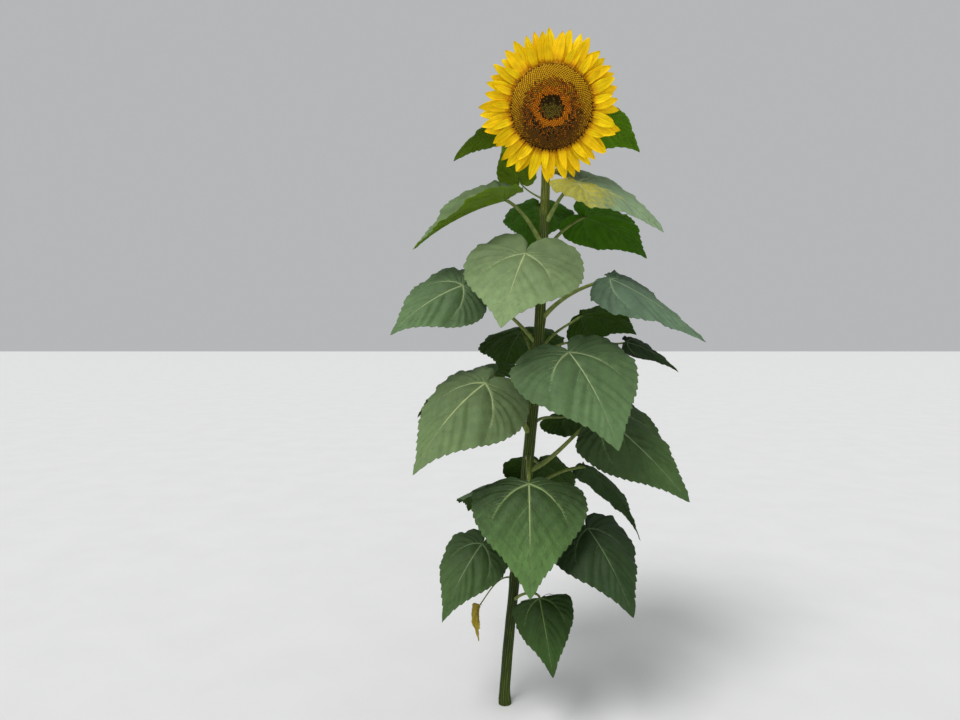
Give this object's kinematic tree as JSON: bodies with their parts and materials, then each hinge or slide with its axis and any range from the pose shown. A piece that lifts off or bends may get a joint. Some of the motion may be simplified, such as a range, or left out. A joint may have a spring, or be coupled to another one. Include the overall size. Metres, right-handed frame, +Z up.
{
  "type": "sunflower plant",
  "caption": "Tall single-headed sunflower plant in bloom, with a ribbed stem, a large nodding flower head and broad heart-shaped leaves on long stalks, cut flat at the ground.",
  "frame": {"origin": "middle of the flat cut under the stem, at ground level", "axes": "+Z up along the plant, -Y to the front where the flower faces, +X to the right"},
  "size_m": [1.0497, 0.8877, 2.3195],
  "materials": {
    "stem": "ribbed, pale-haired green stem",
    "stalk": "pale-haired green leaf stalk",
    "leaf": "matt grey-green leaf with pale veins",
    "dry_leaf": "dry yellow leaf",
    "bract": "green cup and bracts",
    "disc": "packed florets in rings of olive, orange-brown and gold",
    "petal": "golden yellow ray petals"
  },
  "bodies": {
    "root": {"stem": "stem", "head_cup": "bract", "head_disc": "disc", "head_rays": "petal", "leaf_01_stalk": "stalk", "leaf_01_blade": "leaf", "leaf_02_stalk": "stalk", "leaf_02_blade": "dry_leaf", "leaf_03_stalk": "stalk", "leaf_03_blade": "leaf", "leaf_04_stalk": "stalk", "leaf_04_blade": "leaf", "leaf_05_stalk": "stalk", "leaf_05_blade": "leaf", "leaf_06_stalk": "stalk", "leaf_06_blade": "leaf", "leaf_07_stalk": "stalk", "leaf_07_blade": "leaf", "leaf_08_stalk": "stalk", "leaf_08_blade": "leaf", "leaf_09_stalk": "stalk", "leaf_09_blade": "leaf", "leaf_10_stalk": "stalk", "leaf_10_blade": "leaf", "leaf_11_stalk": "stalk", "leaf_11_blade": "leaf", "leaf_12_stalk": "stalk", "leaf_12_blade": "leaf", "leaf_13_stalk": "stalk", "leaf_13_blade": "leaf", "leaf_14_stalk": "stalk", "leaf_14_blade": "leaf", "leaf_15_stalk": "stalk", "leaf_15_blade": "leaf", "leaf_16_stalk": "stalk", "leaf_16_blade": "leaf", "leaf_17_stalk": "stalk", "leaf_17_blade": "leaf", "leaf_18_stalk": "stalk", "leaf_18_blade": "leaf", "leaf_19_stalk": "stalk", "leaf_19_blade": "leaf", "leaf_20_stalk": "stalk", "leaf_20_blade": "leaf", "leaf_21_stalk": "stalk", "leaf_21_blade": "leaf", "leaf_22_stalk": "stalk", "leaf_22_blade": "leaf", "leaf_23_stalk": "stalk", "leaf_23_blade": "leaf", "leaf_24_stalk": "stalk", "leaf_24_blade": "leaf", "leaf_25_stalk": "stalk", "leaf_25_blade": "leaf", "leaf_26_stalk": "stalk", "leaf_26_blade": "leaf", "leaf_27_stalk": "stalk", "leaf_27_blade": "leaf"}
  },
  "joints": []
}
